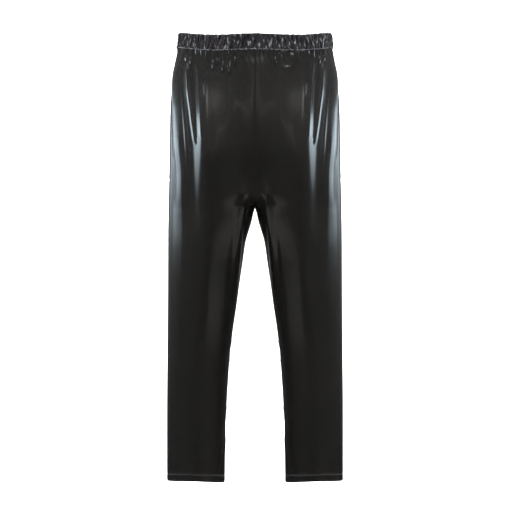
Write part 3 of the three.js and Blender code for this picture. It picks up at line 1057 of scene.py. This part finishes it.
@dataclass
class StitchRow:
    """A row of lockstitches: each is a short raised oval of thread, half sunk in the leather."""

    name: str
    slot: str
    pitch: float = 4.2
    length: float = 3.3
    thick: float = 0.95
    sunk: float = 0.15

    def oval(self) -> bpy.types.Mesh:
        """One stitch as a ball of radius 1, to be stretched along the seam."""
        ball = bmesh.new()
        bmesh.ops.create_uvsphere(ball, u_segments=8, v_segments=6, radius=1.0)
        mesh = bpy.data.meshes.new("stitch")
        ball.to_mesh(mesh)
        ball.free()
        return mesh

    def build(self, line: np.ndarray, thread: bpy.types.Material) -> bpy.types.Object:
        """Sews the row.

        Args:
            line: points of the closed line, in millimetres, in order.
            thread: finish of the thread.

        Returns:
            The finished piece.
        """
        run = np.linalg.norm(np.diff(line, axis=0), axis=1)
        arc = np.concatenate([[0.0], np.cumsum(run)])
        count = int(arc[-1] / self.pitch)
        middle = line.mean(axis=0)
        oval = self.oval()
        shape = bmesh.new()
        for number in range(count):
            start = arc[-1] * number / count
            ends = [
                Vector([np.interp(start + step, arc, line[:, axis]) for axis in range(3)])
                for step in (0.0, self.length)
            ]
            along = (ends[1] - ends[0]).normalized()
            centre = (ends[0] + ends[1]) / 2
            outward = Vector((centre.x - middle[0], centre.y - middle[1], 0.0)).normalized()
            upward = along.cross(outward).normalized()
            outward = upward.cross(along)
            centre = centre - outward * self.sunk
            turned = Matrix((along, outward, upward)).transposed().to_4x4()
            sized = Matrix.Diagonal((self.length / 2, self.thick / 2, self.thick / 2, 1.0))
            stitch = oval.copy()
            stitch.transform(Matrix.Translation(centre * MM) @ Matrix.Scale(MM, 4) @ turned @ sized)
            shape.from_mesh(stitch)
            bpy.data.meshes.remove(stitch)
        bpy.data.meshes.remove(oval)
        mesh = bpy.data.meshes.new(self.name)
        shape.to_mesh(mesh)
        shape.free()
        piece = link_object(self.name, mesh, thread)
        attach(piece, "root")
        return piece


@dataclass
class Studio:
    """Pale floor and surround, soft lights and the camera."""

    eye_distance: float = 4.0
    eye_height: float = -0.4753
    eye_aside: float = 0.0022
    frame_width: float = 1.1423
    floor_drop: float = 1.03
    surround_radius: float = 7.0
    surround_height: float = 5.0
    surround_bend: float = 1.5
    bend_steps: int = 8
    round_steps: int = 96
    film_width: float = 36.0
    paper_glow: float = 0.85
    diffuser_fade: float = 0.95
    # How a part of the direction is graded: from, to, and the brightness there
    lower_room: tuple[float, float, float, float] = (-0.3, 0.25, 0.004, 0.22)
    side_room: tuple[float, float, float, float] = (0.15, 0.6, 0.0, 0.34)
    side_level: float = -0.42
    side_fade: tuple[float, float, float, float] = (0.08, 0.22, 1.0, 0.0)
    upper_room: tuple[float, float, float, float] = (0.38, 0.75, 0.0, 2.6)

    def paper(self) -> bpy.types.Material:
        """Matt white background paper, lit evenly from outside the picture."""
        made, tree = new_material("white_background_paper")
        shader = add_node(
            tree,
            "BsdfPrincipled",
            {
                "Base Color": linear("f4f4f4"),
                "Roughness": 0.95,
                "Emission Color": linear("ffffff"),
                "Emission Strength": self.paper_glow,
            },
        )
        add_node(tree, "OutputMaterial", {}, {"Surface": shader.outputs["BSDF"]})
        return made

    def surround(self) -> bpy.types.Object:
        """Round floor that curves up into a wall, so it has no horizon.

        Returns:
            The surround, which glossy rays don't see.
        """
        shape = bmesh.new()
        bend = self.surround_bend
        flat = self.surround_radius - bend
        profile = [(0.0, 0.0), (flat, 0.0)]
        for step in range(1, self.bend_steps + 1):
            angle = step / self.bend_steps * QUARTER
            profile.append((flat + bend * math.sin(angle), bend - bend * math.cos(angle)))
        profile.append((self.surround_radius, self.surround_height))
        points = [shape.verts.new((x, 0.0, z - self.floor_drop)) for x, z in profile]
        edges = [shape.edges.new(pair) for pair in zip(points, points[1:])]
        bmesh.ops.spin(
            shape,
            geom=points + edges,
            cent=(0, 0, 0),
            axis=(0, 0, 1),
            angle=TURN,
            steps=self.round_steps,
            use_merge=True,
        )
        bmesh.ops.remove_doubles(shape, verts=shape.verts, dist=FINE)
        mesh = bpy.data.meshes.new("surround")
        shape.to_mesh(mesh)
        shape.free()
        made = link_object("surround", mesh, self.paper())
        made.visible_glossy = False
        return made

    def softbox(
        self,
        name: str,
        place: tuple[float, float, float],
        aim: tuple[float, float, float],
        size: tuple[float, float],
        watts: float,
        colour: tuple[float, float, float],
    ) -> None:
        """Hangs one rectangular soft light.

        Args:
            name: its name.
            place: its centre.
            aim: the point it faces.
            size: its width and height.
            watts: its power.
            colour: its colour.
        """
        lamp = bpy.data.lights.new(name, "AREA")
        lamp.shape = "RECTANGLE"
        lamp.size, lamp.size_y = size
        lamp.energy = watts
        lamp.color = colour
        self.graded(lamp)
        made = bpy.data.objects.new(name, lamp)
        made.location = place
        made.rotation_euler = (Vector(aim) - Vector(place)).to_track_quat("-Z", "Y").to_euler()
        made.visible_camera = False
        bpy.context.scene.collection.objects.link(made)

    def graded(self, lamp: bpy.types.Light) -> None:
        """Makes a light fade towards its lower edge, as behind a graded diffuser."""
        lamp.use_nodes = True
        tree = lamp.node_tree
        tree.nodes.clear()
        where = add_node(tree, "NewGeometry")
        parts = add_node(tree, "SeparateXYZ", {}, {"Vector": where.outputs["Parametric"]})
        fade = add_node(
            tree,
            "MapRange",
            {"interpolation_type": "SMOOTHERSTEP", "From Max": self.diffuser_fade},
            {"Value": parts.outputs["Y"]},
        )
        light = add_node(tree, "Emission", {}, {"Strength": fade.outputs["Result"]})
        add_node(tree, "OutputLight", {}, {"Surface": light.outputs["Emission"]})

    def lights(self) -> None:
        """Tall cool softboxes beside and behind the object, and a dim warm strip in front."""
        cool, warm = (0.74, 0.90, 1.0), (1.0, 0.96, 0.9)
        for label, side in (("left", 1.0), ("right", -1.0)):
            centre = (0.0, 0.0, -0.25)
            self.softbox(f"{label}_softbox", (side * 1.4, 0.27, -0.26), centre, (0.92, 0.66), 10.8, cool)
            high = (side * 0.8, -2.4, 1.7)
            self.softbox(f"{label}_high_softbox", high, (0.0, 0.0, 0.0), (0.7, 0.25), 4.4, cool)
            self.softbox(f"{label}_wing", (side * 1.1, 1.0, -0.25), centre, (0.6, 0.68), 2.2, cool)
        self.softbox("front_strip", (0.0, -4.9, 0.1), (0.0, 0.0, 0.1), (0.26, 2.4), 1.1, warm)
        self.softbox("back_strip", (0.0, 1.3, -0.55), (0.0, 0.0, -0.6), (0.5, 1.1), 0.9, warm)

    def graded_part(
        self,
        tree: bpy.types.NodeTree,
        part: bpy.types.NodeSocket,
        grade: tuple[float, float, float, float],
    ) -> bpy.types.NodeSocket:
        """Softly turns a part of the direction into a brightness.

        Args:
            tree: the room's node tree.
            part: the part of the direction.
            grade: from, to, and the brightness there.

        Returns:
            The brightness.
        """
        low, high, at_low, at_high = grade
        settings = {"From Min": low, "From Max": high, "To Min": at_low, "To Max": at_high}
        settings["interpolation_type"] = "SMOOTHERSTEP"
        return add_node(tree, "MapRange", settings, {"Value": part}).outputs["Result"]

    def room(self) -> None:
        """A dark room that is lighter towards its ceiling and its sides, for the reflections."""
        world = bpy.data.worlds.new("dim_room")
        world.use_nodes = True
        tree = world.node_tree
        tree.nodes.clear()
        where = add_node(tree, "TexCoord")
        parts = add_node(tree, "SeparateXYZ", {}, {"Vector": where.outputs["Generated"]})
        aside = add_node(tree, "Math", {"operation": "ABSOLUTE"}, {0: parts.outputs["X"]})
        over = {"operation": "SUBTRACT", 1: self.side_level}
        off = add_node(tree, "Math", over, {0: parts.outputs["Z"]})
        off = add_node(tree, "Math", {"operation": "ABSOLUTE"}, {0: off.outputs["Value"]})
        lower = self.graded_part(tree, parts.outputs["Z"], self.lower_room)
        side = self.graded_part(tree, aside.outputs["Value"], self.side_room)
        fade = self.graded_part(tree, off.outputs["Value"], self.side_fade)
        upper = self.graded_part(tree, parts.outputs["Z"], self.upper_room)
        walls = add_node(
            tree, "Math", {"operation": "MULTIPLY_ADD"}, {0: side, 1: fade, 2: lower}
        )
        total = add_node(
            tree, "Math", {"operation": "ADD"}, {0: upper, 1: walls.outputs["Value"]}
        )
        light = add_node(
            tree,
            "Background",
            {"Color": (1.0, 0.98, 0.95, 1.0)},
            {"Strength": total.outputs["Value"]},
        )
        add_node(tree, "OutputWorld", {}, {"Surface": light.outputs["Background"]})
        bpy.context.scene.world = world

    def camera(self) -> None:
        """Sets the camera level with the middle of the trousers, straight in front."""
        lens = bpy.data.cameras.new("camera")
        lens.sensor_width = self.film_width
        lens.lens = self.film_width * self.eye_distance / self.frame_width
        made = bpy.data.objects.new("camera", lens)
        made.location = (self.eye_aside, -self.eye_distance, self.eye_height)
        made.rotation_euler = (QUARTER, 0.0, 0.0)
        bpy.context.scene.collection.objects.link(made)
        bpy.context.scene.camera = made

    def build(self) -> None:
        """Sets up the whole studio."""
        self.surround()
        self.lights()
        self.room()
        self.camera()
        bpy.context.scene.view_settings.view_transform = "Standard"


def main() -> None:
    """Builds the studio and the trousers, piece by piece."""
    logging.basicConfig(level=logging.INFO, format="%(name)s: %(message)s")
    Studio().build()
    figure = Figure()
    gathering = Gathering()
    leather = CoatedLeather().build()
    # The band's copy of the leather has a lighter, purple-tinted base colour: a painted sheen for the light
    # its gathers catch, on a glossier coat.
    painted_sheen_leather = CoatedLeather(
        name="painted_sheen_black_leather",
        dark="0e0d10",
        light="1a181d",
        roughness_low=0.2,
        roughness_high=0.3,
        coat=0.9,
        coat_roughness=0.1,
    ).build()
    backing = KnittedBacking().build()
    waist_thread = SewingThread("grey_sewing_thread", "6f6b76").build()
    hem_thread = SewingThread("black_sewing_thread", "2b2a2c").build()
    for leg in Leg:
        lines = {}
        for face in Face:
            panel = LegPanel(figure, face, leg, gathering)
            piece = panel.build(leather, backing)
            lines[face] = panel.hem_line()
            log.info("%s: %d faces", piece.name, len(piece.data.polygons))
        line = np.concatenate([lines[Face.FRONT], lines[Face.BACK][::-1]])
        row = StitchRow(f"{leg.label}_hem_stitches", "leg_leather").build(line, hem_thread)
        log.info("%s: %d faces", row.name, len(row.data.polygons))
    waistband = Waistband(figure, gathering)
    band = waistband.build(painted_sheen_leather)
    log.info("%s: %d faces", band.name, len(band.data.polygons))
    row = StitchRow("waist_stitches", "band_leather").build(waistband.stitch_line(), waist_thread)
    log.info("%s: %d faces", row.name, len(row.data.polygons))


if __name__ == "__main__":
    main()
